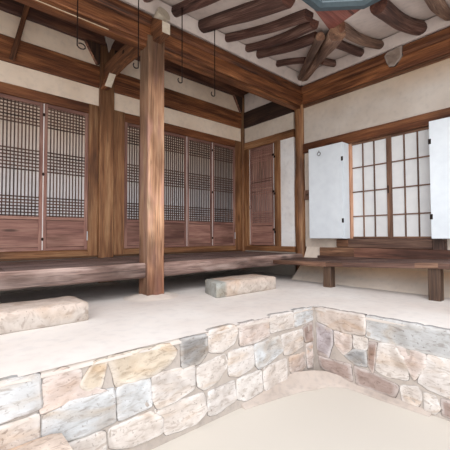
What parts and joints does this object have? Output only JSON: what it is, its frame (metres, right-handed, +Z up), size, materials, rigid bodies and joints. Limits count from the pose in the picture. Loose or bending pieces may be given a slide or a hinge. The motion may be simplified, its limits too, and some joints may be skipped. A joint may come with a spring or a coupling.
{
  "type": "hanok house",
  "caption": "L-shaped timber house on a stone terrace, with a raised porch, lattice folding doors, papered shutters, a wall bench, log rafters and a tiled roof.",
  "frame": {"origin": "on the ground plane under the terrace, directly below the centre of the corner post where the two wings meet", "axes": "+X along the main wing's front towards the side wing, +Y from the courtyard to the back of the main wing, +Z up"},
  "size_m": [10.4008, 11.95, 5.7968],
  "materials": {
    "stone": "rough split stone with pale lime mortar",
    "plaster": "matt lime and clay plaster",
    "old_timber": "aged brown timber with checks",
    "frame_timber": "oiled golden brown timber",
    "door_timber": "dull purple-brown lattice timber",
    "floor_timber": "dark weathered boards",
    "paper": "matt white mulberry paper",
    "roof_tile": "unglazed grey fired tile",
    "gutter_metal": "dark blue-grey paint",
    "iron": "black forged iron"
  },
  "bodies": {
    "house": {"terrace": "stone", "stepping_stone_left": "stone", "stepping_stone_right": "stone", "courtyard_step": "stone", "front_post_1": "old_timber", "front_post_2": "old_timber", "wing_post_1": "old_timber", "wing_post_2": "old_timber", "inner_post_1": "old_timber", "inner_post_2": "old_timber", "inner_post_3": "old_timber", "corner_post": "frame_timber", "front_beam": "old_timber", "wing_beam": "old_timber", "tie_beam_1": "old_timber", "tie_beam_2": "old_timber", "return_beam": "old_timber", "inner_purlin": "old_timber", "room_floor": "plaster", "porch_floor": "floor_timber", "door_frame_1": "frame_timber", "folding_doors_1": "door_timber", "inner_wall_1": "plaster", "inner_beam_1": "old_timber", "door_frame_2": "frame_timber", "folding_doors_2": "door_timber", "inner_wall_2": "plaster", "inner_beam_2": "old_timber", "return_frame": "frame_timber", "return_side_wall": "plaster", "return_upper_wall": "plaster", "wing_foot_wall": "plaster", "wing_wall_1": "plaster", "window_frame_1": "frame_timber", "window_sashes_1": "paper", "shutter_1_left": "paper", "shutter_1_right": "paper", "wing_wall_2": "plaster", "window_frame_2": "frame_timber", "window_sashes_2": "paper", "shutter_2_left": "paper", "shutter_2_right": "paper", "bench": "floor_timber", "roof_deck_main": "plaster", "roof_deck_wing": "plaster", "roof_tiles_main": "roof_tile", "roof_tiles_wing": "roof_tile", "gutter": "gutter_metal", "rear_wall": "plaster", "east_wall": "plaster", "west_wall": "plaster", "south_wall": "plaster", "rear_screens": "paper", "east_screens": "paper", "south_screen": "paper"},
    "door": {"return_door": "door_timber"}
  },
  "joints": [
    {"name": "door_hinge", "type": "hinge", "parent": "house", "child": "door", "pos_m": [-0.065, 0.517, 1.2], "axis": [0, 0, 1], "range_deg": [0, 100]}
  ]
}
